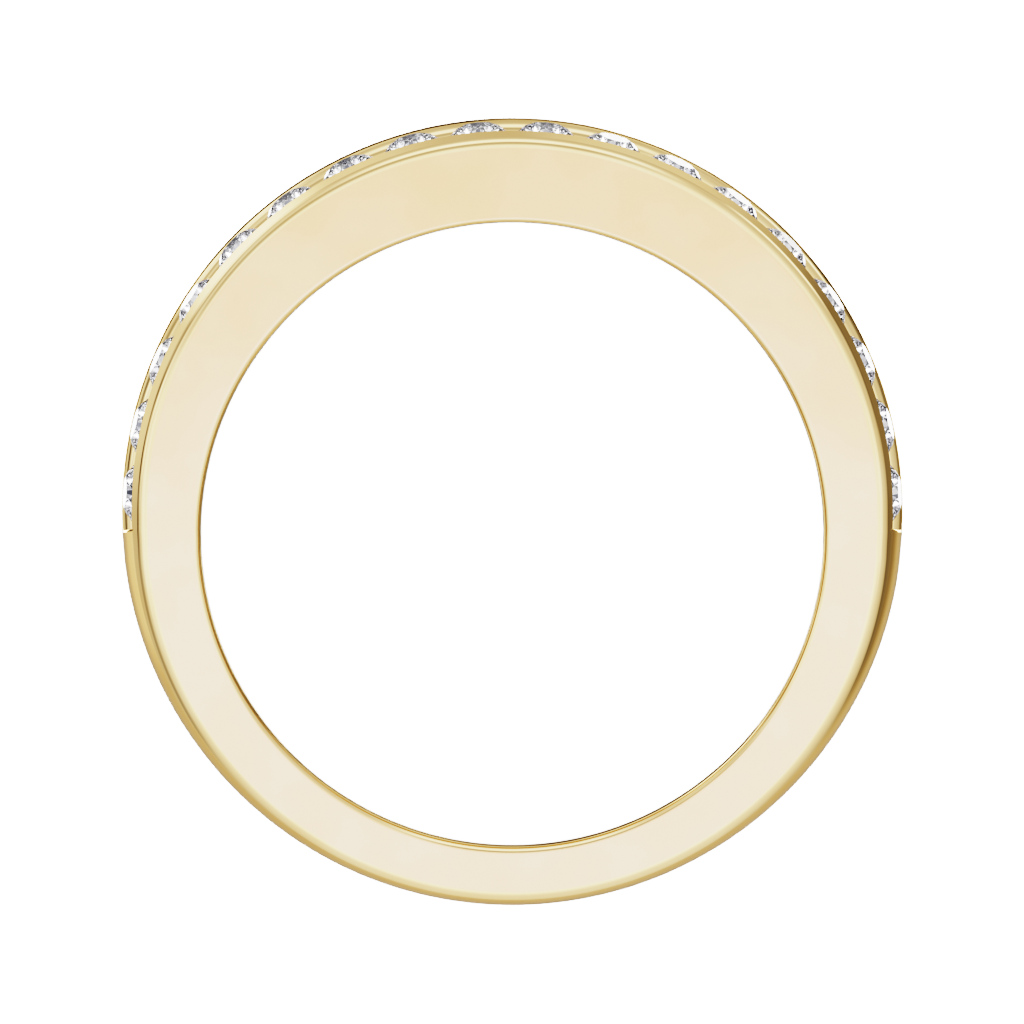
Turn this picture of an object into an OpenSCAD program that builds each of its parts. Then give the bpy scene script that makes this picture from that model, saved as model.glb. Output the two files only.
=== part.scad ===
// Two-row channel-set band ring, lying on its side.
// The finger axis is Z, the jewelled top of the ring is towards +Y, and z = 0 is the side face it rests on.
// All sizes are millimetres and degrees.

/* [Finger hole] */
// Diameter of the finger hole, a US size 7
bore_d = 17.3; // [15:0.1:21]
// How far the hole's centre lies below the centre of the outline
bore_drop = 0.61; // [0.3:0.01:0.7]
// Width of the broken edge where the hole meets a side face
inner_edge = 0.2; // [0.1:0.05:0.3]

/* [Band] */
// Width of the band over the stones
band_w = 4.6; // [4.5:0.05:5.4]
// Wall from the hole to the outline, at the ring's left and right
side_wall = 2.19; // [2:0.01:2.6]
// How much taller than wide the outline is
outline_stretch = 0.18; // [0.1:0.01:0.4]
// Radius of the dome across the band
dome_r = 6.2; // [5.5:0.1:8]
// Lean of each side face towards the other, below the stones
taper_deg = 4.6; // [3:0.1:5]
// How far the shoulder's lower half turn is moved down, which thins the shoulder towards the base
shoulder_drop = 0.45; // [0.3:0.01:0.5]

/* [Shoulders] */
// Radius of the rounded shoulder
shoulder_r = 0.38; // [0.3:0.01:0.45]
// Distance from the outline to the flat of the side face
shoulder_in = 0.745; // [0.7:0.005:0.8]
// Arc of the rounded shoulder, up to its crease
shoulder_arc = 62; // [50:1:70]
// Slope of the channel wall's top beyond the crease
wall_top_deg = 29; // [25:1:35]

/* [Channels] */
// Radius of the rounded rib between the two rows
rib_r = 0.45; // [0.4:0.01:0.5]
// Distance from the middle plane to the inner face of the outer channel wall
channel_out = 1.85; // [1.8:0.01:1.9]
// Depth of the channel floor below the outline, beside the rib
floor_in = 0.4; // [0.35:0.01:0.6]
// Half the arc that the channels run over
channel_arc = 93.1; // [91.5:0.1:100]

/* [Stones] */
// Stones in each of the two rows
row_count = 18; // [18]
// Arc from one stone to the next
stone_pitch = 10.25; // [9.6:0.05:10.25]
// Diameter of a stone at its girdle
stone_d = 1.6; // [1.5:0.01:1.62]
// Width of the table, as a share of the girdle
table_share = 0.56; // [0.53:0.01:0.6]
// Lean of the crown facets
crown_deg = 34.5; // [32:0.5:36]
// Lean of the pavilion facets
pavilion_deg = 40.75; // [40:0.25:42]
// Thickness of the girdle
girdle_t = 0.05; // [0.03:0.01:0.06]
// Depth of the girdle plane below the outline, at the ring's left and right
girdle_in = 0.313; // [0.3:0.001:0.35]
// Distance from the middle plane to the middle of a stone's girdle
row_z = 1.13; // [1.1:0.01:1.15]
// Outward lean of the stones at the top of the ring
tilt_top = 11.2; // [9:0.1:12]
// Outward lean of the stones at its left and right
tilt_side = 6.4; // [5:0.1:9]
// Clearance round a stone in its seat
seat_gap = 0.03; // [0.02:0.01:0.05]

/* [Hidden] */
$fn = 180;

bore_r = bore_d / 2;
outer_r = bore_r + side_wall;
half_w = band_w / 2;
core_r = bore_r - bore_drop - 0.6;
beyond = 1;

crease_x = outer_r - shoulder_in + shoulder_r * sin(shoulder_arc);
crease_z = -shoulder_r * (1 - cos(shoulder_arc));
rim_x = outer_r - shoulder_in;
lid_depth = half_w + beyond;
lid_far = outer_r + beyond;
bend_y = -shoulder_drop / 2;
tilted_hole_y = -(bore_drop + bend_y) / cos(taper_deg);

rib_lift = 0.012;
rib_x = outer_r - rib_r + rib_lift;
floor_deg = 10;

girdle_r = stone_d / 2;
table_r = girdle_r * table_share;
crown_h = (girdle_r - table_r) * tan(crown_deg);
pavilion_h = girdle_r * tan(pavilion_deg);
ring_of_stones_r = outer_r - girdle_in;
star_share = 0.5;
lower_half_share = 0.24;

function two_digits(i) = str(i < 10 ? "0" : "", i);
function row_names(side) = [for (i = [1:row_count]) str("stone_", side, "_", two_digits(i))];
function stone_angle(i) = (i - (row_count + 1) / 2) * stone_pitch;
function stone_tilt(a) = tilt_side + (tilt_top - tilt_side) * cos(a);
function ring_of_points(r, z, n, first) =
    [for (k = [0:n - 1]) [r * cos(first + k * 360 / n), r * sin(first + k * 360 / n), z]];

// Half of the domed cross-section, as radius and height above the middle plane
module dome_section() {
    intersection() {
        translate([outer_r - dome_r, 0]) circle(r = dome_r);
        translate([core_r, 0]) square([outer_r - core_r + beyond, half_w + beyond]);
    }
}

// The domed ring above the middle plane: two half turns with a short straight stretch between them
module dome() {
    translate([0, outline_stretch / 2, 0]) rotate_extrude(angle = 180) dome_section();
    translate([0, -outline_stretch / 2, 0]) rotate([0, 0, 180]) rotate_extrude(angle = 180) dome_section();
    for (side = [0, 1]) mirror([side, 0, 0]) rotate([90, 0, 0])
        linear_extrude(outline_stretch, center = true) dome_section();
}

// Cross-section of the lid below: flat face, rounded shoulder, crease and wall top
module lid_section() {
    centre = [rim_x, -shoulder_r];
    crease = [crease_x, crease_z];
    far_z = crease_z - (lid_far - crease_x) / tan(wall_top_deg);
    polygon([[0, -lid_depth], [lid_far, -lid_depth], [lid_far, far_z], crease, centre, [rim_x, 0], [0, 0]]);
    intersection() {
        translate(centre) circle(r = shoulder_r);
        polygon([centre, centre + 2 * (crease - centre), centre + [0, 2 * shoulder_r]]);
    }
}

// What bounds the ring from its side: a half turn above y = 0, and straight on below it
module lid() {
    rotate_extrude(angle = 180) lid_section();
    for (side = [0, 1]) mirror([side, 0, 0]) rotate([90, 0, 0]) linear_extrude(lid_far) lid_section();
}

// Places its children on the leaning lower half of the side face
module on_leaning_face() {
    translate([0, bend_y, half_w]) rotate([taper_deg, 0, 0]) children();
}

// Finger hole with its broken edges on the upright and the leaning face
module finger_hole() {
    translate([0, -bore_drop, 0]) cylinder(r = bore_r, h = 2 * band_w, center = true);
    translate([0, -bore_drop, half_w]) edge_break();
    on_leaning_face() translate([0, tilted_hole_y, 0]) edge_break();
}

module edge_break() {
    down = 2 * inner_edge;
    translate([0, 0, -down])
        cylinder(h = down + beyond, r1 = bore_r + inner_edge - down, r2 = bore_r + inner_edge + beyond);
}

// Channel for one row, with the flank of the rounded rib and closed ends
module channel() {
    floor_far = rib_x + rib_r * (1 + tan(floor_deg)) - floor_in;
    floor_near = floor_far - channel_out * tan(floor_deg);
    translate([0, outline_stretch / 2, 0]) rotate([0, 0, 90 - channel_arc])
        rotate_extrude(angle = 2 * channel_arc) difference() {
            polygon([[floor_far, 0], [outer_r + beyond, 0], [outer_r + beyond, channel_out],
                     [floor_near, channel_out]]);
            translate([rib_x, 0]) circle(r = rib_r);
        }
}

// Puts a child that stands on z = 0 with its girdle into place i of the front row
module at_place(i) {
    a = stone_angle(i);
    rotate([0, 0, -a]) translate([0, ring_of_stones_r, row_z]) rotate([stone_tilt(a) - 90, 0, 0]) children();
}

// Drilled seat: a little more than the stone, on the stone's own axis, with the drill's flat end
module seat() {
    wide = girdle_r + seat_gap;
    drill_z = -girdle_t - pavilion_h - seat_gap;
    rotate_extrude() polygon([
        [0, drill_z], [seat_gap, drill_z], [wide, -girdle_t - seat_gap], [wide, seat_gap],
        [table_r + seat_gap, crown_h + 2 * seat_gap], [0, crown_h + 2 * seat_gap]]);
}

// Round brilliant: table, star, kite and upper facets, girdle, lower facets and pavilion mains
module brilliant() {
    star_r = table_r + (girdle_r - table_r) * star_share;
    star_z = crown_h * (girdle_r - star_r * cos(22.5)) / (girdle_r - table_r);
    low_r = girdle_r * lower_half_share;
    low_z = -girdle_t - pavilion_h * (1 - low_r * cos(22.5) / girdle_r);
    points = concat(
        ring_of_points(table_r, crown_h, 8, 0),
        ring_of_points(star_r, star_z, 8, 22.5),
        ring_of_points(girdle_r, 0, 16, 0),
        ring_of_points(girdle_r, -girdle_t, 16, 0),
        ring_of_points(low_r, low_z, 8, 22.5),
        [[0, 0, -girdle_t - pavilion_h]]);
    star = 8;
    top = 16;
    under = 32;
    low = 48;
    culet = 56;
    eight = [0:7];
    faces = concat(
        [[for (k = eight) 7 - k]],
        [for (k = eight) [k, (k + 1) % 8, star + k]],
        [for (k = eight) [k, star + k, top + 2 * k, star + (k + 7) % 8]],
        [for (k = eight) [star + k, top + 2 * k + 1, top + 2 * k]],
        [for (k = eight) [star + k, top + (2 * k + 2) % 16, top + 2 * k + 1]],
        [for (k = [0:15]) [top + k, top + (k + 1) % 16, under + (k + 1) % 16, under + k]],
        [for (k = eight) [under + 2 * k, under + 2 * k + 1, low + k]],
        [for (k = eight) [under + 2 * k + 1, under + (2 * k + 2) % 16, low + k]],
        [for (k = eight) [under + 2 * k, low + k, culet, low + (k + 7) % 8]]);
    polyhedron(points, faces);
}

// The band above its middle plane
module half_band() {
    difference() {
        intersection() {
            dome();
            translate([0, 0, half_w]) lid();
            on_leaning_face() translate([0, bend_y, 0]) mirror([0, 1, 0]) lid();
        }
        finger_hole();
        channel();
        for (i = [1:row_count]) at_place(i) seat();
    }
}

module band() {
    color("#e3cd8f") translate([0, 0, half_w]) {
        half_band();
        mirror([0, 0, 1]) half_band();
    }
}

module stone(side, i) {
    color("#eef2f6") translate([0, 0, half_w]) mirror([0, 0, side]) at_place(i) brilliant();
}

band();
for (i = [1:row_count]) stone(0, i);
for (i = [1:row_count]) stone(1, i);
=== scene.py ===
"""Two-row channel-set band ring, lying on its side under a plain studio.

The finger axis is Z, the jewelled top is towards +Y, and z = 0 is the side face that the ring rests on.
The band is modelled here over its CAD solid, and the stones are the CAD solids with a finish of their own.
"""

import math
from collections import namedtuple

import bmesh
import bpy
from bpy.props import FloatProperty, FloatVectorProperty, IntProperty, PointerProperty
from mathutils import Matrix


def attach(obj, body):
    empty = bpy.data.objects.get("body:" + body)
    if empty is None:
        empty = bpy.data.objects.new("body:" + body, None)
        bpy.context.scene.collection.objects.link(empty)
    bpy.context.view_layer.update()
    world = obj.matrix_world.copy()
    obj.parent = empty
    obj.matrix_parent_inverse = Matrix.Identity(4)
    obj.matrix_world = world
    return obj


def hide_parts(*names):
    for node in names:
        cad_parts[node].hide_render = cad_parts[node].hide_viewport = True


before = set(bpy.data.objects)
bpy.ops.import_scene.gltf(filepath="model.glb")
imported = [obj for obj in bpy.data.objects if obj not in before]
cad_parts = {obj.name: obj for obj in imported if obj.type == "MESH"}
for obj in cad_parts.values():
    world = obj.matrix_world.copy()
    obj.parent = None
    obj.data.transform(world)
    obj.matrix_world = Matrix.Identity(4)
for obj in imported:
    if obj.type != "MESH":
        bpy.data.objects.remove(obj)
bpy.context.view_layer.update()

bl_info = {
    "name": "Channel-set Band Ring",
    "version": (1, 0, 0),
    "blender": (4, 5, 0),
    "location": "View3D > Sidebar > Band Ring",
    "description": "Models a channel-set band ring and its studio",
    "category": "Add Mesh",
}

# A millimetre, as the scene is in metres
MM = 0.001
ROW_COUNT = sum(name.startswith("stone_front_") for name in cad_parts)


def srgb(text):
    """An sRGB hex colour as linear red, green and blue."""
    linear = []
    for k in (1, 3, 5):
        level = int(text[k:k + 2], 16) / 255
        linear.append(level / 12.92 if level <= 0.04045 else ((level + 0.055) / 1.055) ** 2.4)
    return linear


# Settings

class BandSettings(bpy.types.PropertyGroup):
    """Sizes and colours of the gold band"""

    bore_radius: FloatProperty(
        name="Finger hole radius", description="Radius of the finger hole",
        default=8.65 * MM, precision=5, subtype="DISTANCE", unit="LENGTH")
    bore_drop: FloatProperty(
        name="Hole drop", description="How far the hole's centre lies below the outline's centre",
        default=0.61 * MM, precision=5, subtype="DISTANCE", unit="LENGTH")
    outer_radius: FloatProperty(
        name="Outline radius", description="Radius of the outline at the ring's left and right",
        default=10.84 * MM, precision=5, subtype="DISTANCE", unit="LENGTH")
    stretch: FloatProperty(
        name="Outline stretch", description="Half the straight stretch between the outline's two half turns",
        default=0.09 * MM, precision=5, subtype="DISTANCE", unit="LENGTH")
    half_width: FloatProperty(
        name="Half width", description="From the middle plane to the flat side face over the stones",
        default=2.3 * MM, precision=5, subtype="DISTANCE", unit="LENGTH")
    dome_radius: FloatProperty(
        name="Dome radius", description="Radius of the dome across the band",
        default=6.2 * MM, precision=5, subtype="DISTANCE", unit="LENGTH")
    taper: FloatProperty(
        name="Taper", description="Lean of each side face below the stones",
        default=math.radians(4.6), subtype="ANGLE", unit="ROTATION")
    bend_y: FloatProperty(
        name="Bend height", description="Where the side face bends, measured from the outline's centre",
        default=-0.225 * MM, precision=5, subtype="DISTANCE", unit="LENGTH")
    bend_half: FloatProperty(
        name="Bend reach", description="Half the length of the soft bend in the side face",
        default=1.2 * MM, precision=5, subtype="DISTANCE", unit="LENGTH")
    rim_in: FloatProperty(
        name="Shoulder width", description="From the outline to the flat of the side face",
        default=0.745 * MM, precision=5, subtype="DISTANCE", unit="LENGTH")
    shoulder_radius: FloatProperty(
        name="Shoulder radius", description="Radius of the rounded shoulder",
        default=0.38 * MM, precision=5, subtype="DISTANCE", unit="LENGTH")
    shoulder_arc: FloatProperty(
        name="Shoulder arc", description="Arc of the rounded shoulder, up to its crease",
        default=math.radians(62), subtype="ANGLE", unit="ROTATION")
    shoulder_drop: FloatProperty(
        name="Shoulder drop", description="How far the shoulder's lower half turn is moved down",
        default=0.45 * MM, precision=5, subtype="DISTANCE", unit="LENGTH")
    wall_slope: FloatProperty(
        name="Wall top slope", description="Slope of the channel wall's top, from the finger axis",
        default=math.radians(29), subtype="ANGLE", unit="ROTATION")
    rib_radius: FloatProperty(
        name="Rib radius", description="Radius of the rounded rib between the rows",
        default=0.45 * MM, precision=5, subtype="DISTANCE", unit="LENGTH")
    channel_out: FloatProperty(
        name="Channel wall", description="From the middle plane to the inner face of the channel wall",
        default=1.85 * MM, precision=5, subtype="DISTANCE", unit="LENGTH")
    floor_in: FloatProperty(
        name="Channel depth", description="Depth of the channel floor beside the rib",
        default=0.4 * MM, precision=5, subtype="DISTANCE", unit="LENGTH")
    floor_slope: FloatProperty(
        name="Channel floor slope", description="How the channel floor sinks away from the rib",
        default=math.radians(10), subtype="ANGLE", unit="ROTATION")
    channel_arc: FloatProperty(
        name="Channel reach", description="Half the arc that the channels run over",
        default=math.radians(93.1), subtype="ANGLE", unit="ROTATION")
    channel_soft: FloatProperty(
        name="Channel end edge", description="Radius of the rounded edge over each channel's end wall",
        default=0.055 * MM, precision=5, subtype="DISTANCE", unit="LENGTH")
    edge_top: FloatProperty(
        name="Inner edge at the top", description="Width of the rounded edge of the finger hole at the top",
        default=0.11 * MM, precision=5, subtype="DISTANCE", unit="LENGTH")
    edge_base: FloatProperty(
        name="Inner edge at the base", description="Width of the rounded edge of the finger hole at the base",
        default=0.31 * MM, precision=5, subtype="DISTANCE", unit="LENGTH")
    crisp_angle: FloatProperty(
        name="Crisp edges", description="Edges that turn by more than this are left crisp",
        default=math.radians(30), subtype="ANGLE", unit="ROTATION")
    stations: IntProperty(
        name="Stations", description="Cross-sections round the ring", default=400, min=120, max=720)
    gold: FloatVectorProperty(
        name="Gold", description="Colour of the polished gold",
        default=srgb("#F2DAB1"), size=3, min=0.0, max=1.0, subtype="COLOR")
    gold_pale: FloatVectorProperty(
        name="Paler gold", description="Colour of the gold in its palest waves",
        default=srgb("#F4DEB7"), size=3, min=0.0, max=1.0, subtype="COLOR")
    gold_edge: FloatVectorProperty(
        name="Gold edge tint", description="Tint of the gold where it turns away from the eye",
        default=srgb("#F9E9CF"), size=3, min=0.0, max=1.0, subtype="COLOR")


class StoneSettings(bpy.types.PropertyGroup):
    """Sizes of the stones' seats, which follow the CAD stones, and the stones' own look"""

    pitch: FloatProperty(
        name="Pitch", description="Arc from one stone to the next",
        default=math.radians(10.25), subtype="ANGLE", unit="ROTATION")
    radius: FloatProperty(
        name="Stone radius", description="Radius of a stone at its girdle",
        default=0.8 * MM, precision=5, subtype="DISTANCE", unit="LENGTH")
    table_share: FloatProperty(
        name="Table", description="Width of a stone's table as a share of its girdle",
        default=0.56, min=0.3, max=0.8, subtype="FACTOR")
    crown_slope: FloatProperty(
        name="Crown angle", description="Slope of a stone's crown, from its girdle plane",
        default=math.radians(34.5), subtype="ANGLE", unit="ROTATION")
    pavilion_slope: FloatProperty(
        name="Pavilion angle", description="Slope of a stone's pavilion, from its girdle plane",
        default=math.radians(40.75), subtype="ANGLE", unit="ROTATION")
    girdle: FloatProperty(
        name="Girdle thickness", description="Height of a stone's straight girdle",
        default=0.05 * MM, precision=5, subtype="DISTANCE", unit="LENGTH")
    gap: FloatProperty(
        name="Seat gap", description="Clearance round a stone in its seat",
        default=0.03 * MM, precision=5, subtype="DISTANCE", unit="LENGTH")
    girdle_in: FloatProperty(
        name="Girdle depth", description="Depth of the girdle plane below the outline",
        default=0.313 * MM, precision=5, subtype="DISTANCE", unit="LENGTH")
    row_z: FloatProperty(
        name="Row distance", description="From the middle plane to the middle of a stone",
        default=1.13 * MM, precision=5, subtype="DISTANCE", unit="LENGTH")
    tilt_top: FloatProperty(
        name="Lean at the top", description="Outward lean of the stones at the top of the ring",
        default=math.radians(11.2), subtype="ANGLE", unit="ROTATION")
    tilt_side: FloatProperty(
        name="Lean at the sides", description="Outward lean of the stones at the ring's left and right",
        default=math.radians(6.4), subtype="ANGLE", unit="ROTATION")
    refraction: FloatProperty(
        name="Refractive index", description="Refractive index of the stones",
        default=2.417, min=1.5, max=2.7)
    cool_tint: FloatVectorProperty(
        name="Cool body", description="Body colour of the stones where it is coolest",
        default=srgb("#F7F7FF"), size=3, min=0.0, max=1.0, subtype="COLOR")
    clear_tint: FloatVectorProperty(
        name="Clear body", description="Body colour of the stones where it is clearest",
        default=srgb("#FFFFFF"), size=3, min=0.0, max=1.0, subtype="COLOR")


class StageSettings(bpy.types.PropertyGroup):
    """The studio round the ring"""

    floor_radius: FloatProperty(
        name="Floor radius", description="Radius of the plain floor",
        default=6.0, subtype="DISTANCE", unit="LENGTH")
    floor_gap: FloatProperty(
        name="Floor gap", description="How far the floor lies below the side face that the ring rests on",
        default=0.02 * MM, precision=6, subtype="DISTANCE", unit="LENGTH")
    floor_colour: FloatVectorProperty(
        name="Floor colour", description="Colour of the plain floor",
        default=srgb("#F4F4F4"), size=3, min=0.0, max=1.0, subtype="COLOR")
    frame_width: FloatProperty(
        name="Frame width", description="Width that the picture takes in at the ring",
        default=28.44 * MM, precision=5, subtype="DISTANCE", unit="LENGTH")
    aim_x: FloatProperty(
        name="Aim across", description="How far right of the outline's centre the picture's middle lies",
        default=-0.007 * MM, precision=6, subtype="DISTANCE", unit="LENGTH")
    aim_y: FloatProperty(
        name="Aim along", description="How far above the outline's centre the picture's middle lies",
        default=-0.010 * MM, precision=6, subtype="DISTANCE", unit="LENGTH")
    aim_z: FloatProperty(
        name="Aim height", description="Height at which the frame width is measured",
        default=2.3 * MM, precision=6, subtype="DISTANCE", unit="LENGTH")
    lens: FloatProperty(
        name="Lens", description="Focal length in millimetres", default=1650.0, min=50.0)
    card_size: FloatProperty(
        name="Card size", description="Side of the overhead diffuser",
        default=32 * MM, precision=5, subtype="DISTANCE", unit="LENGTH")
    card_height: FloatProperty(
        name="Card height", description="Height of the overhead diffuser",
        default=40 * MM, precision=5, subtype="DISTANCE", unit="LENGTH")
    card_offset: FloatProperty(
        name="Card offset", description="How far the diffuser lies towards the jewelled top",
        default=-4 * MM, precision=5, subtype="DISTANCE", unit="LENGTH")
    card_start: FloatProperty(
        name="Glow start", description="Where the diffuser's glow starts to change, towards the jewelled top",
        default=-1 * MM, precision=5, subtype="DISTANCE", unit="LENGTH")
    card_end: FloatProperty(
        name="Glow end", description="Where the diffuser's glow stops changing, towards the jewelled top",
        default=9 * MM, precision=5, subtype="DISTANCE", unit="LENGTH")
    card_base: FloatVectorProperty(
        name="Glow at the base", description="Glow of the diffuser over the ring's plain base",
        default=(1.06, 0.997, 1.168), size=3, min=0.0, subtype="COLOR")
    card_top: FloatVectorProperty(
        name="Glow at the top", description="Glow of the diffuser over the jewelled top",
        default=(0.955, 0.855, 0.893), size=3, min=0.0, subtype="COLOR")
    tent_radius: FloatProperty(
        name="Tent radius", description="Radius of the lit tent that the stones flash with",
        default=0.5, subtype="DISTANCE", unit="LENGTH")
    key_power: FloatProperty(
        name="Key power", description="Strength of the overhead lamp on the floor", default=11.0, min=0.0)
    key_spread: FloatProperty(
        name="Key spread", description="Angle that the overhead lamp fills, which softens its shadows",
        default=math.radians(60), subtype="ANGLE", unit="ROTATION")


# Studio tones

# A soft-edged patch of light or shade in the surround. The azimuth is from the jewelled top, the polar angle
# is from straight overhead, and both are degrees, as the sizes and soft edges are. The tone is added.
Patch = namedtuple("Patch", "azimuth half_width soft_width polar half_height soft_height tone")

# Tone of the surround against the angle from straight overhead, in degrees
SURROUND = (
    (0, 1.0), (12, 1.0), (25, 0.97), (40, 0.84), (60, 0.71), (80, 0.62), (100, 0.53), (120, 0.54),
    (140, 0.56), (160, 0.52), (170, 0.43), (180, 0.33))
PATCHES = (
    # open sky of the studio in front, towards the plain base
    Patch(180, 50, 50, 15, 8, 20, 0.10),
    Patch(180, 8, 28, 128, 20, 15, 0.10),
    Patch(180, 20, 30, 72, 8, 14, 0.06),
    # shade and a strip light behind the jewelled top, and the dark edge of the table below
    Patch(-20, 30, 20, 38, 5, 13, -0.34),
    Patch(0, 16, 16, 64, 3, 17, 0.45),
    Patch(-45, 36, 10, 143, 12, 5, -0.40),
    Patch(30, 24, 20, 143, 12, 5, -0.27),
    # softbox at the left with a broad glow round it
    Patch(-45, 5, 12, 106, 18, 10, 0.50),
    Patch(-50, 24, 20, 118, 8, 10, 0.20),
    # edge of the softbox at the far left: a dark line that climbs, and a bright one above it
    Patch(-55, 4, 7, 71, 3, 7, -0.15),
    Patch(-65, 4, 7, 84, 4, 8, -0.20),
    Patch(-77, 5, 7, 93, 3, 8, -0.20),
    Patch(-87, 5, 7, 99, 3, 7, -0.18),
    Patch(-66, 5, 6, 65, 2, 7, 0.20),
    Patch(-76, 5, 6, 70, 2, 7, 0.38),
    Patch(-86, 5, 6, 76, 2, 7, 0.15),
    Patch(-92, 14, 16, 46, 8, 12, 0.22),
    Patch(-108, 12, 16, 95, 8, 14, -0.17),
    Patch(-92, 12, 14, 145, 8, 12, 0.18),
    # strip light at the right, and two soft cards that frame it
    Patch(46, 5, 8, 97, 4, 9, 0.70),
    Patch(20, 8, 12, 118, 5, 10, 0.13),
    Patch(50, 18, 18, 58, 10, 16, -0.09),
    # large black flag at the right, with its edges and a light above it
    Patch(84, 26, 22, 133, 13, 14, -0.245),
    Patch(66, 7, 9, 108, 4, 8, -0.18),
    Patch(105, 10, 20, 112, 4, 10, -0.08),
    Patch(88, 12, 14, 44, 6, 12, 0.20),
    # bounce cards low round the ring, for the tables of the stones, and the gaps between them
    Patch(29, 15, 3, 159, 1, 1, 2.6),
    Patch(67, 19, 4, 163, 5, 2, 2.6),
    Patch(-71, 17, 3, 163, 5, 2, 2.6),
    Patch(-35, 12, 4, 162, 7, 3, -0.22),
    Patch(-6, 12, 4, 162, 7, 3, -0.06),
)
# Light of the tent against the angle from straight overhead, in degrees: bright bands with gaps between
TENT_TONES = (
    (0, 0.3), (15, 0.3), (24, 0.08), (44, 0.08), (54, 0.36), (76, 0.36), (83, 0.05), (99, 0.04), (106, 0.2),
    (116, 0.5), (122, 1.3), (133, 1.3), (137, 0.5), (141, 0.08), (150, 0.06), (157, 0.2), (166, 0.3),
    (180, 0.25))
# The tent's shaded side, towards the plain base
TENT_PATCHES = (Patch(180, 60, 35, 65, 18, 6, -0.16),)
TENT_STRENGTH = 2.0
# Folds of the tent: how many lie in a stretch as long as its radius, and their tones from furrow to crest
FOLD_SCALE = 7.0
FOLD_TONES = ((0.36, (0.26, 0.27, 0.31)), (0.5, (0.98, 0.98, 1.0)), (0.64, (1.3, 1.28, 1.22)))
# Tone that no shade goes below
DARKEST = 0.05
# Contrast of the camera, as scene light against picture light, and the brightest light that it takes in
CAMERA_CURVE = (
    (0.0, 0.0), (0.11, 0.02), (0.151, 0.055), (0.207, 0.14), (0.284, 0.29), (0.389, 0.48), (0.533, 0.67),
    (0.73, 0.807), (1.0, 0.88), (1.3, 0.93), (2.0, 1.0))
CURVE_REACH = 4.0
SENSOR_WIDTH = 36.0


# Helpers

# Halvings after which a search has closed to far less than a micrometre
SEARCH_STEPS = 40
# Points closer than this are one point
MERGE = 1e-7
# What counts as nothing beside a direction of length 1
NOTHING = 1e-9


def bisect(low, high, holds):
    """The place between low and high where a test that holds at low stops holding."""
    for _ in range(SEARCH_STEPS):
        mid = (low + high) / 2
        low, high = (mid, high) if holds(mid) else (low, mid)
    return low


def reach(angle, radius, upper, lower):
    """How far a ray from the centre runs to a stadium whose half turns centre at y = upper and lower."""
    ux, uy = math.sin(angle), math.cos(angle)
    if abs(ux) > NOTHING:
        straight = radius / abs(ux)
        if lower <= straight * uy <= upper:
            return straight
    centre = upper if uy > 0 else lower
    return uy * centre + math.sqrt(radius ** 2 - (centre * ux) ** 2)


def full_spin(bm, verts, edges, steps):
    """Turns a profile once round the Z axis."""
    bmesh.ops.spin(bm, geom=verts + edges, cent=(0, 0, 0), axis=(0, 0, 1), angle=2 * math.pi,
                   steps=steps, use_merge=True, use_duplicate=False)


def connected(verts):
    """These vertices and all that edges join to them."""
    shape = set(verts)
    grow = list(verts)
    while grow:
        v = grow.pop()
        for edge in v.link_edges:
            other = edge.other_vert(v)
            if other not in shape:
                shape.add(other)
                grow.append(other)
    return list(shape)


def close_shell(bm):
    """Merges doubled points and turns every face outwards."""
    bmesh.ops.remove_doubles(bm, verts=bm.verts, dist=MERGE)
    bmesh.ops.recalc_face_normals(bm, faces=bm.faces)


def new_piece(name, bm):
    """Makes an object of a finished bmesh and puts it in the scene."""
    mesh = bpy.data.meshes.new(name)
    bm.to_mesh(mesh)
    bm.free()
    piece = bpy.data.objects.new(name, mesh)
    bpy.context.scene.collection.objects.link(piece)
    return piece


def smooth_shade(piece, crisp):
    """Smooth shading, with edges sharper than this angle left crisp."""
    mesh = piece.data
    mesh.shade_smooth()
    mesh.set_sharp_from_angle(angle=crisp)


def empty_material(name):
    """A material with no nodes yet, and its node tree."""
    mat = bpy.data.materials.new(name)
    mat.use_nodes = True
    mat.node_tree.nodes.clear()
    return mat, mat.node_tree


def add_node(tree, kind, sockets=None, **settings):
    """Adds a node, sets its attributes, and gives its inputs a value or a link."""
    node = tree.nodes.new(kind)
    for name, value in settings.items():
        setattr(node, name, value)
    for key, value in (sockets or {}).items():
        if isinstance(value, bpy.types.NodeSocket):
            tree.links.new(value, node.inputs[key])
        else:
            node.inputs[key].default_value = value
    return node


def ramp_stops(node, stops, mode="LINEAR"):
    """Gives a colour ramp node its grey or coloured stops."""
    ramp = node.color_ramp
    ramp.interpolation = mode
    while len(ramp.elements) > 1:
        ramp.elements.remove(ramp.elements[-1])
    for k, (place, colour) in enumerate(stops):
        element = ramp.elements[0] if k == 0 else ramp.elements.new(place)
        element.position = place
        element.color = (*colour, 1.0) if hasattr(colour, "__len__") else (colour, colour, colour, 1.0)


# Band

# Points over the hole's edge, along the side face, over the shoulder, up the wall top and along the floor
EDGE_POINTS = 8
FLAT_POINTS = 3
ARC_POINTS = 9
TOP_POINTS = 3
FLOOR_POINTS = 3
# Points from the wall top's edge to the middle plane, in the channel or over the plain dome
CROSS_POINTS = 15
# Stations over the rounded edge at a channel's end
END_POINTS = 4
# How fast the hole's edge widens from the top to the base: 1 is evenly, and less is sooner
EDGE_GROWTH = 0.8
# How far inside its edges the side face is held flat
HOLD = 0.025 * MM
# What is left of the wall top where a channel cuts into the shoulder
TOP_SPARE = 0.02 * MM
# Steps in which the floor's meeting with the rib is found, and the share of the error each step takes off
MEET_STEPS = 30
MEET_SHARE = 0.9
# Arcs in radians: half the one in which a channel's end wall is looked for, and how far off the wall the
# stations beside it stop
END_REACH = 0.1
WALL_NUDGE = 0.0002
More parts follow.
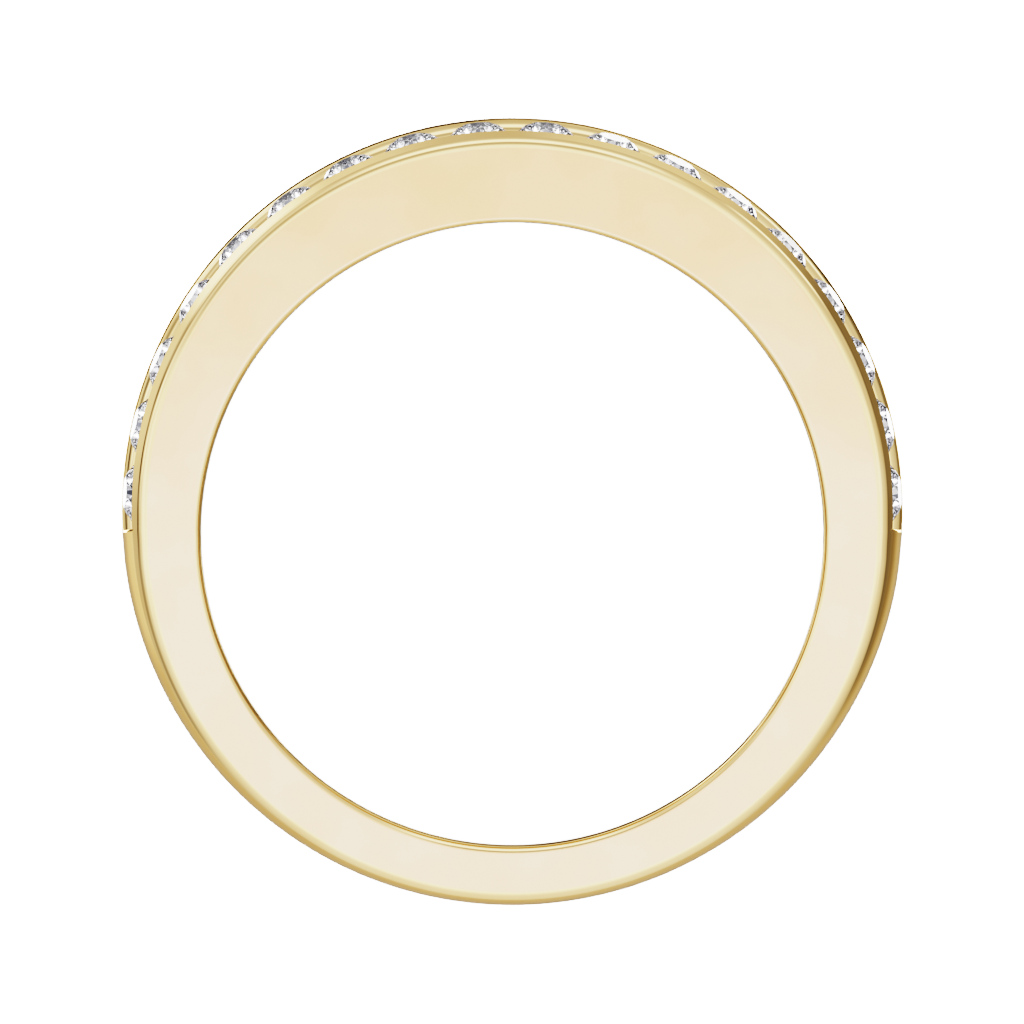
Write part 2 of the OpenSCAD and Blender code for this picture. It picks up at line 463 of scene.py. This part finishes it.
# How far from the wall a station holds the plain band's direction, in radii of the rounded edge
END_HOLD = 2.0
# Share of the rib's radius that runs on past a channel's end with no rounded edge
RIB_CORE = 0.5
# Steps of the drill's turn
DRILL_STEPS = 40


def face_height(ring, y):
    """Height of the side face above the middle plane: flat over the stones, then softly bent and leaning."""
    lean = math.tan(ring.taper)
    away = ring.bend_y - y
    if away <= -ring.bend_half:
        return ring.half_width
    if away >= ring.bend_half:
        return ring.half_width - lean * away
    return ring.half_width - lean * (away + ring.bend_half) ** 2 / (4 * ring.bend_half)


def rim_drop(ring, over):
    """How far the rounded shoulder, then the wall top, lie below the side face at a distance past its rim."""
    crease = ring.shoulder_radius * math.sin(ring.shoulder_arc)
    if over <= crease:
        return ring.shoulder_radius - math.sqrt(ring.shoulder_radius ** 2 - over ** 2)
    rounded = ring.shoulder_radius * (1 - math.cos(ring.shoulder_arc))
    return rounded + (over - crease) / math.tan(ring.wall_slope)


def section(ring, angle, in_channel):
    """Half of the cross-section at an angle from the top, as radius and height, from bore to middle plane."""
    uy = math.cos(angle)
    bore = -uy * ring.bore_drop + math.sqrt(ring.bore_radius ** 2 - (ring.bore_drop * math.sin(angle)) ** 2)
    rim = reach(angle, ring.outer_radius - ring.rim_in, 0.0, -ring.shoulder_drop)
    far = reach(angle, ring.outer_radius, ring.stretch, -ring.stretch)
    core = far - ring.dome_radius

    def side(r):
        return face_height(ring, r * uy) - rim_drop(ring, max(r - rim, 0.0))

    def under_dome(r):
        return math.sqrt(max(ring.dome_radius ** 2 - (r - core) ** 2, 0.0)) > side(r)

    def outside_channel(r):
        return side(r) > ring.channel_out

    edge = bisect(rim, far, under_dome)
    if in_channel:
        edge = bisect(rim, edge, outside_channel)
    points = bore_edge(ring, uy, bore)
    points += flat_face(ring, uy, points[-1][0], rim)
    points += shoulder(ring, rim, edge, side)
    points += channel(ring, angle) if in_channel else plain_dome(ring, core, side(edge))
    return points


def bore_edge(ring, uy, bore):
    """Points over the rounded edge of the finger hole, which widens from the top to the base."""
    share = (1 - uy) / 2
    soft = ring.edge_top + (ring.edge_base - ring.edge_top) * share ** EDGE_GROWTH
    points = []
    for k in range(EDGE_POINTS + 1):
        turn = math.pi / 2 * (1 - k / EDGE_POINTS)
        r = bore + soft * (1 - math.sin(turn))
        points.append((r, face_height(ring, r * uy) - soft * (1 - math.cos(turn))))
    return points


def flat_face(ring, uy, start, rim):
    """Points along the side face, from the hole's edge to the rim of the shoulder."""
    points = []
    for k in range(FLAT_POINTS):
        r = start + HOLD + (rim - start - 2 * HOLD) * k / (FLAT_POINTS - 1)
        points.append((r, face_height(ring, r * uy)))
    return points


def shoulder(ring, rim, edge, side):
    """Points over the rounded shoulder and up the wall top to its edge."""
    over = max(edge - TOP_SPARE - rim, 0.0)
    arc_end = min(ring.shoulder_arc, math.asin(min(1.0, over / ring.shoulder_radius)))
    radii = [rim + ring.shoulder_radius * math.sin(arc_end * k / ARC_POINTS) for k in range(ARC_POINTS + 1)]
    start = radii[-1]
    radii += [start + (edge - start) * k / TOP_POINTS for k in range(1, TOP_POINTS)]
    radii.append(edge)
    return [(r, side(r)) for r in radii]


def channel(ring, angle):
    """Points along the channel's sloped floor and up the rib's round flank to its crown."""
    rib = reach(angle, ring.outer_radius - ring.rib_radius, ring.stretch, ring.stretch)
    slope = math.tan(ring.floor_slope)
    foot = rib + ring.rib_radius * (1 + slope) - ring.floor_in
    # arc of the flank, from the crown down to where the floor meets it
    meet = math.pi / 2
    for _ in range(MEET_STEPS):
        r = rib + ring.rib_radius * math.cos(meet)
        z = ring.rib_radius * math.sin(meet)
        meet -= (foot - slope * z - r) / ring.rib_radius * MEET_SHARE
    z_meet = ring.rib_radius * math.sin(meet)
    points = []
    for k in range(FLOOR_POINTS):
        z = ring.channel_out + (z_meet - ring.channel_out) * k / FLOOR_POINTS
        points.append((foot - slope * z, z))
    rest = CROSS_POINTS - FLOOR_POINTS - 1
    for k in range(rest + 1):
        turn = meet * (1 - k / rest)
        points.append((rib + ring.rib_radius * math.cos(turn), ring.rib_radius * math.sin(turn)))
    return points


def plain_dome(ring, core, edge_z):
    """Points over the plain dome, from the wall top's edge to the middle plane."""
    points = []
    for k in range(1, CROSS_POINTS + 1):
        z = edge_z * (1 - k / CROSS_POINTS)
        points.append((core + math.sqrt(ring.dome_radius ** 2 - z ** 2), z))
    return points


def in_channels(ring, angle):
    """True where a cross-section at this angle from the top runs through the channels."""
    turn = abs((angle + math.pi) % (2 * math.pi) - math.pi)
    far = reach(turn, ring.outer_radius, ring.stretch, -ring.stretch)
    x, y = far * math.sin(turn), far * math.cos(turn) - ring.stretch
    return math.atan2(x, y) < ring.channel_arc


def shape_station(ring, key, angle, end, wall):
    """Angle and points of one station: those beside a channel's end move up to its wall and over its edge."""
    if key == end - 1:
        angle = wall - WALL_NUDGE
        return angle, section(ring, angle, True)
    if not end <= key <= end + END_POINTS:
        return angle, section(ring, angle, key < end)
    turn = math.pi / 2 * min(1.0, (key - end) / (END_POINTS - 1))
    along = END_HOLD if key == end + END_POINTS else 1 - math.cos(turn)
    angle = wall + WALL_NUDGE + ring.channel_soft * along / ring.outer_radius
    sink = ring.channel_soft * (1 - math.sin(turn))
    return angle, [(r - sink * end_share(ring, r, z), z) for r, z in section(ring, angle, False)]


def end_share(ring, r, z):
    """How much of the rounded edge a point takes: all across a channel, and none on the rib and the side."""
    if z >= ring.channel_out or r <= ring.outer_radius - ring.rim_in:
        return 0.0
    return min(1.0, max(0.0, z / ring.rib_radius - RIB_CORE))


def make_band(ring):
    """Spins one cross-section round the finger axis, then moves every station's points to their own place."""
    bm = bmesh.new()
    number = bm.verts.layers.int.new("section_point")
    half = section(ring, 0.0, True)
    loop = half + [(r, -z) for r, z in reversed(half[:-1])]
    verts = []
    for k, (r, z) in enumerate(loop):
        v = bm.verts.new((r, 0.0, z))
        v[number] = k
        verts.append(v)
    edges = [bm.edges.new((verts[k - 1], verts[k])) for k in range(len(verts))]
    full_spin(bm, verts, edges, ring.stations)
    step = 2 * math.pi / ring.stations
    end = next(k for k in range(ring.stations) if not in_channels(ring, k * step))
    wall = bisect(end * step - END_REACH, end * step + END_REACH, lambda a: in_channels(ring, a))
    stations = {}
    for v in bm.verts:
        station = round(math.atan2(v.co.x, v.co.y) / step)
        key = abs(station)
        if key not in stations:
            stations[key] = shape_station(ring, key, key * step, end, wall)
        angle, points = stations[key]
        angle = math.copysign(angle, station)
        k = v[number]
        front = k < len(points)
        r, z = points[k if front else len(loop) - 1 - k]
        v.co = (r * math.sin(angle), r * math.cos(angle), (z if front else -z) + ring.half_width)
    close_shell(bm)
    return new_piece("gold_band", bm)


# Seats

def drill_outline(stone):
    """Outline of the drill on its own axis, as radius and height: a stone with its gap, and a flat end."""
    crown = stone.radius * (1 - stone.table_share) * math.tan(stone.crown_slope)
    wide = stone.radius + stone.gap
    table = stone.radius * stone.table_share + stone.gap
    deep = -stone.girdle - stone.radius * math.tan(stone.pavilion_slope) - stone.gap
    return [(0, deep), (stone.gap, deep), (wide, -stone.girdle - stone.gap), (wide, stone.gap),
            (table, crown + 2 * stone.gap), (0, crown + 2 * stone.gap)]


def seat_place(ring, stone, side, number):
    """Where the drill stands for one stone: side is 1 in the front row and -1 in the back row."""
    angle = (number - (ROW_COUNT - 1) / 2) * stone.pitch
    lean = stone.tilt_side + (stone.tilt_top - stone.tilt_side) * math.cos(angle)
    return (Matrix.Translation((0, 0, ring.half_width)) @ Matrix.Scale(side, 4, (0, 0, 1))
            @ Matrix.Rotation(-angle, 4, "Z")
            @ Matrix.Translation((0, ring.outer_radius - stone.girdle_in, stone.row_z))
            @ Matrix.Rotation(lean - math.pi / 2, 4, "X"))


def make_seats(ring, stone):
    """One drill shape for every stone of both rows, as the cutter of the seats."""
    bm = bmesh.new()
    outline = drill_outline(stone)
    for side in (1, -1):
        for number in range(ROW_COUNT):
            verts = [bm.verts.new((r, 0, z)) for r, z in outline]
            edges = [bm.edges.new(pair) for pair in zip(verts, verts[1:])]
            full_spin(bm, verts, edges, DRILL_STEPS)
            place = seat_place(ring, stone, side, number)
            bmesh.ops.transform(bm, matrix=place, verts=connected(verts))
    close_shell(bm)
    return new_piece("seat_cutter", bm)


def cut_seats(band, cutter):
    """Drills the seats out of the band and takes the cutter away."""
    cut = band.modifiers.new("Seats", "BOOLEAN")
    cut.operation = "DIFFERENCE"
    cut.object = cutter
    cut.solver = "MANIFOLD"
    graph = bpy.context.evaluated_depsgraph_get()
    cut_mesh = bpy.data.meshes.new_from_object(band.evaluated_get(graph))
    band.modifiers.remove(cut)
    band.data = cut_mesh
    bpy.data.objects.remove(cutter)


# Finishes

# Length of the faint waves that buffing leaves in the gold, and how far apart the compound's hairlines are
WAVE = 2.0 * MM
HAIRLINE = 0.12 * MM
# Roughness of the gold between the hairlines and where they are densest
GOLD_SMOOTHEST = 0.05
GOLD_ROUGHEST = 0.085
# Length over which the stones' body colour wanders, and width of their polishing marks
BODY_DRIFT = 0.5 * MM
POLISH_MARK = 0.05 * MM
# Roughness of the stones where the marks are densest, and of the floor
STONE_ROUGHEST = 0.012
FLOOR_ROUGHNESS = 0.8


def polished_gold(ring):
    """14 carat yellow gold, lost-wax cast and buffed to a mirror: it shows the studio in its own tint."""
    mat, tree = empty_material("Polished 14k yellow gold, buffed")
    place = add_node(tree, "ShaderNodeTexCoord").outputs["Object"]
    # buffing leaves faint waves about 2 mm long, seen as a slow change of tone
    waves = add_node(tree, "ShaderNodeTexNoise", {"Vector": place, "Scale": 1 / WAVE, "Detail": 2.0})
    tone = add_node(tree, "ShaderNodeValToRGB", {"Fac": waves.outputs["Fac"]})
    ramp_stops(tone, [(0.3, ring.gold), (0.7, ring.gold_pale)], "EASE")
    # polishing compound leaves hairlines about 0.1 mm apart, which only soften the reflections
    hair = add_node(tree, "ShaderNodeTexNoise", {"Vector": place, "Scale": 1 / HAIRLINE, "Detail": 3.0})
    rough = add_node(tree, "ShaderNodeMapRange", {
        "Value": hair.outputs["Fac"], "From Min": 0.3, "From Max": 0.7,
        "To Min": GOLD_SMOOTHEST, "To Max": GOLD_ROUGHEST})
    # the edge tint keeps the alloy's colour where the surface turns away from the eye
    gold = add_node(tree, "ShaderNodeBsdfPrincipled", {
        "Base Color": tone.outputs["Color"], "Metallic": 1.0, "Roughness": rough.outputs["Result"],
        "Specular Tint": (*ring.gold_edge, 1.0)})
    add_node(tree, "ShaderNodeOutputMaterial", {"Surface": gold.outputs["BSDF"]})
    return mat


def clear_stone(stone):
    """Round brilliant, colourless and polished: bright and dark flashes of the studio through its facets."""
    mat, tree = empty_material("Colourless brilliant, polished facets")
    place = add_node(tree, "ShaderNodeTexCoord").outputs["Object"]
    # the faint body colour wanders over a few tenths of a millimetre
    body = add_node(tree, "ShaderNodeTexNoise", {"Vector": place, "Scale": 1 / BODY_DRIFT, "Detail": 1.0})
    tint = add_node(tree, "ShaderNodeValToRGB", {"Fac": body.outputs["Fac"]})
    ramp_stops(tint, [(0.35, stone.cool_tint), (0.65, stone.clear_tint)])
    # polishing marks a few hundredths of a millimetre wide barely soften the facets
    marks = add_node(tree, "ShaderNodeTexNoise", {"Vector": place, "Scale": 1 / POLISH_MARK, "Detail": 1.0})
    rough = add_node(tree, "ShaderNodeMapRange", {
        "Value": marks.outputs["Fac"], "To Min": 0.0, "To Max": STONE_ROUGHEST})
    facets = add_node(tree, "ShaderNodeBsdfPrincipled", {
        "Base Color": tint.outputs["Color"], "Roughness": rough.outputs["Result"], "IOR": stone.refraction,
        "Transmission Weight": 1.0})
    add_node(tree, "ShaderNodeOutputMaterial", {"Surface": facets.outputs["BSDF"]})
    return mat


def pale_floor(stage):
    """Matt white acrylic sheet: plain, with no pattern that shows at this scale."""
    mat = bpy.data.materials.new("White acrylic sheet, matt")
    mat.use_nodes = True
    sheet = mat.node_tree.nodes["Principled BSDF"]
    sheet.inputs["Base Color"].default_value = (*stage.floor_colour, 1.0)
    sheet.inputs["Roughness"].default_value = FLOOR_ROUGHNESS
    sheet.inputs["Specular IOR Level"].default_value = 0.0
    return mat


def graded_diffuser(stage):
    """Overhead diffuser of opal acrylic, lit from above: cooler and brighter towards the plain base."""
    mat, tree = empty_material("Opal acrylic diffuser, graded light")
    place = add_node(tree, "ShaderNodeTexCoord").outputs["Object"]
    height = add_node(tree, "ShaderNodeSeparateXYZ", {0: place}).outputs["Y"]
    share = add_node(tree, "ShaderNodeMapRange", {
        "Value": height, "From Min": stage.card_start - stage.card_offset,
        "From Max": stage.card_end - stage.card_offset})
    glow = add_node(tree, "ShaderNodeMix", {
        0: share.outputs["Result"], 6: (*stage.card_base, 1.0), 7: (*stage.card_top, 1.0)}, data_type="RGBA")
    light = add_node(tree, "ShaderNodeEmission", {"Color": glow.outputs[2]})
    add_node(tree, "ShaderNodeOutputMaterial", {"Surface": light.outputs["Emission"]})
    return mat


def tent_fabric():
    """Lit tent round the ring, with dark gaps: its bands and fine folds are what the stones flash with."""
    mat, tree = empty_material("White tent fabric, lit from outside")
    place = add_node(tree, "ShaderNodeTexCoord").outputs["Object"]
    way = add_node(tree, "ShaderNodeVectorMath", {0: place}, operation="NORMALIZE").outputs["Vector"]
    light = surround(tree, way, TENT_TONES, TENT_PATCHES)
    # folds of the cloth, each some ten degrees wide, change the tone and a little of the hue
    folds = add_node(tree, "ShaderNodeTexNoise", {"Vector": way, "Scale": FOLD_SCALE, "Detail": 2.0})
    tone = add_node(tree, "ShaderNodeValToRGB", {"Fac": folds.outputs["Fac"]})
    ramp_stops(tone, FOLD_TONES)
    cloth = add_node(tree, "ShaderNodeMix", {0: 1.0, 6: light, 7: tone.outputs["Color"]},
                     data_type="RGBA", blend_type="MULTIPLY")
    glow = add_node(tree, "ShaderNodeEmission", {"Color": cloth.outputs[2], "Strength": TENT_STRENGTH})
    add_node(tree, "ShaderNodeOutputMaterial", {"Surface": glow.outputs["Emission"]})
    return mat


def surround(tree, way, tones, patches):
    """Light that comes from a direction: tones against the angle from overhead, with the patches added."""
    height = add_node(tree, "ShaderNodeSeparateXYZ", {0: way}).outputs["Z"]
    polar = add_node(tree, "ShaderNodeMath", {0: height}, operation="ARCCOSINE").outputs["Value"]
    down = add_node(tree, "ShaderNodeMath", {0: polar, 1: math.pi}, operation="DIVIDE").outputs["Value"]
    base = add_node(tree, "ShaderNodeValToRGB", {"Fac": down})
    ramp_stops(base, [(angle / 180, tone) for angle, tone in tones])
    # the direction's compass part, for the patches' azimuths
    across = add_node(tree, "ShaderNodeVectorMath", {0: way, 1: (1, 1, 0)}, operation="MULTIPLY")
    compass = add_node(tree, "ShaderNodeVectorMath", {0: across.outputs["Vector"]}, operation="NORMALIZE")
    light = base.outputs["Color"]
    for patch in patches:
        light = add_patch(tree, light, compass.outputs["Vector"], polar, patch)
    return add_node(tree, "ShaderNodeMath", {0: light, 1: DARKEST}, operation="MAXIMUM").outputs["Value"]


def add_patch(tree, light, compass, polar, patch):
    """The light of the surround with one more patch: its tone, fading out across its two soft edges."""
    azimuth = math.radians(patch.azimuth)
    centre = (math.sin(azimuth), math.cos(azimuth), 0.0)
    near = add_node(tree, "ShaderNodeVectorMath", {0: compass, 1: centre}, operation="DOT_PRODUCT")
    aside = add_node(tree, "ShaderNodeMath", {0: near.outputs["Value"]}, operation="ARCCOSINE")
    below = add_node(tree, "ShaderNodeMath", {0: polar, 1: math.radians(patch.polar)}, operation="SUBTRACT")
    above = add_node(tree, "ShaderNodeMath", {0: below.outputs["Value"]}, operation="ABSOLUTE")
    tone = patch.tone
    for away, half, soft in (
            (aside, patch.half_width, patch.soft_width),
            (above, patch.half_height, patch.soft_height)):
        tone = add_node(tree, "ShaderNodeMapRange", {
            "Value": away.outputs["Value"], "From Min": math.radians(half + soft),
            "From Max": math.radians(half), "To Max": tone},
            interpolation_type="SMOOTHSTEP").outputs["Result"]
    return add_node(tree, "ShaderNodeMath", {0: light, 1: tone}, operation="ADD").outputs["Value"]


# Stage

# Most bounces that light is followed for, because it crosses a brilliant many times before it leaves
BOUNCES = 24
GLOSSY_BOUNCES = 20


def make_floor(stage):
    """Plain floor, which the ring lies on, out of sight of what the gold and the stones reflect."""
    bm = bmesh.new()
    bmesh.ops.create_circle(bm, cap_ends=True, segments=64, radius=stage.floor_radius)
    floor = new_piece("floor", bm)
    floor.location = (0.0, 0.0, -stage.floor_gap)
    floor.data.materials.append(pale_floor(stage))
    floor.visible_glossy = False
    floor.visible_transmission = False
    return floor


def make_card(stage):
    """Overhead diffuser, which the flat side face mirrors."""
    bm = bmesh.new()
    bmesh.ops.create_grid(bm, x_segments=1, y_segments=1, size=0.5 * stage.card_size)
    card = new_piece("overhead_card", bm)
    card.location = (0.0, stage.card_offset, stage.card_height)
    card.data.materials.append(graded_diffuser(stage))
    card.visible_camera = False
    card.visible_diffuse = False
    card.visible_shadow = False
    return card


def make_tent(stage):
    """Lit tent, which only the light that leaves a stone meets."""
    bm = bmesh.new()
    bmesh.ops.create_icosphere(bm, subdivisions=4, radius=stage.tent_radius)
    tent = new_piece("light_tent", bm)
    tent.data.materials.append(tent_fabric())
    tent.visible_camera = False
    tent.visible_diffuse = False
    tent.visible_glossy = False
    tent.visible_shadow = False
    return tent


def studio_light(scene, stage):
    """A soft surround with its own tones all round, and a lamp that lights the floor and its soft shadows."""
    world = bpy.data.worlds.new("Soft studio")
    scene.world = world
    world.use_nodes = True
    tree = world.node_tree
    tree.nodes.clear()
    way = add_node(tree, "ShaderNodeTexCoord").outputs["Generated"]
    back = add_node(tree, "ShaderNodeBackground", {"Color": surround(tree, way, SURROUND, PATCHES)})
    add_node(tree, "ShaderNodeOutputWorld", {"Surface": back.outputs["Background"]})

    lamp = bpy.data.lights.new("floor_lamp", "SUN")
    lamp.energy = stage.key_power
    lamp.angle = stage.key_spread
    lamp_obj = bpy.data.objects.new("floor_lamp", lamp)
    scene.collection.objects.link(lamp_obj)
    lamp_obj.visible_glossy = False
    lamp_obj.visible_transmission = False

    scene.cycles.max_bounces = BOUNCES
    scene.cycles.glossy_bounces = GLOSSY_BOUNCES
    scene.cycles.transmission_bounces = BOUNCES


def camera_contrast(view):
    """Gives the picture the camera's own contrast, and no other look."""
    view.view_transform = "Standard"
    view.look = "None"
    view.exposure = 0.0
    view.gamma = 1.0
    view.use_curve_mapping = True
    curves = view.curve_mapping
    curves.black_level = (0, 0, 0)
    curves.white_level = (1, 1, 1)
    curves.clip_max_x = CURVE_REACH
    # the fourth curve is the one for all three colours
    curve = curves.curves[3]
    while len(curve.points) > 2:
        curve.points.remove(curve.points[1])
    curve.points[0].location = CAMERA_CURVE[0]
    curve.points[-1].location = CAMERA_CURVE[-1]
    for x, y in CAMERA_CURVE[1:-1]:
        curve.points.new(x, y)
    curves.update()


def add_camera(scene, stage):
    """Looks straight down the finger axis through a long lens, with the jewelled top uppermost."""
    data = bpy.data.cameras.new("camera")
    data.lens = stage.lens
    data.sensor_width = SENSOR_WIDTH
    data.clip_start = 0.05
    data.clip_end = 10.0
    camera = bpy.data.objects.new("camera", data)
    scene.collection.objects.link(camera)
    away = stage.frame_width * stage.lens / SENSOR_WIDTH
    camera.location = (stage.aim_x, stage.aim_y, away + stage.aim_z)
    scene.camera = camera


# Operators

class BANDRING_OT_band(bpy.types.Operator):
    """Model the gold band with its channels, rib and drilled seats"""

    bl_idname = "bandring.band"
    bl_label = "Gold Band"

    def execute(self, context):
        ring, stone = context.scene.band_ring_band, context.scene.band_ring_stones
        band = make_band(ring)
        cut_seats(band, make_seats(ring, stone))
        smooth_shade(band, ring.crisp_angle)
        band.data.materials.clear()
        band.data.materials.append(polished_gold(ring))
        # light that leaves a stone passes the band by, or the gold round the stones would tint them
        band.visible_transmission = False
        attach(band, "root")
        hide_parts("band")
        return {"FINISHED"}


class BANDRING_OT_stones(bpy.types.Operator):
    """Give every stone its clear, polished finish"""

    bl_idname = "bandring.stones"
    bl_label = "Brilliants"

    def execute(self, context):
        finish = clear_stone(context.scene.band_ring_stones)
        for name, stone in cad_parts.items():
            if name.startswith("stone_"):
                for slot in stone.material_slots:
                    slot.material = finish
        return {"FINISHED"}


class BANDRING_OT_stage(bpy.types.Operator):
    """Set the floor, the studio light and the camera"""

    bl_idname = "bandring.stage"
    bl_label = "Studio"

    def execute(self, context):
        scene = context.scene
        stage = scene.band_ring_stage
        make_floor(stage)
        make_card(stage)
        make_tent(stage)
        studio_light(scene, stage)
        camera_contrast(scene.view_settings)
        add_camera(scene, stage)
        return {"FINISHED"}


class VIEW3D_PT_band_ring(bpy.types.Panel):
    """Lists the steps that make the ring"""

    bl_label = "Band Ring"
    bl_idname = "VIEW3D_PT_band_ring"
    bl_space_type = "VIEW_3D"
    bl_region_type = "UI"
    bl_category = "Band Ring"

    def draw(self, context):
        for operator in OPERATORS:
            self.layout.operator(operator.bl_idname)


OPERATORS = (BANDRING_OT_band, BANDRING_OT_stones, BANDRING_OT_stage)
CLASSES = (BandSettings, StoneSettings, StageSettings, *OPERATORS, VIEW3D_PT_band_ring)


def register():
    for cls in CLASSES:
        bpy.utils.register_class(cls)
    bpy.types.Scene.band_ring_band = PointerProperty(type=BandSettings)
    bpy.types.Scene.band_ring_stones = PointerProperty(type=StoneSettings)
    bpy.types.Scene.band_ring_stage = PointerProperty(type=StageSettings)


def unregister():
    del bpy.types.Scene.band_ring_stage
    del bpy.types.Scene.band_ring_stones
    del bpy.types.Scene.band_ring_band
    for cls in reversed(CLASSES):
        bpy.utils.unregister_class(cls)


def main():
    register()
    bpy.ops.bandring.band()
    bpy.ops.bandring.stones()
    bpy.ops.bandring.stage()


if __name__ == "__main__":
    main()
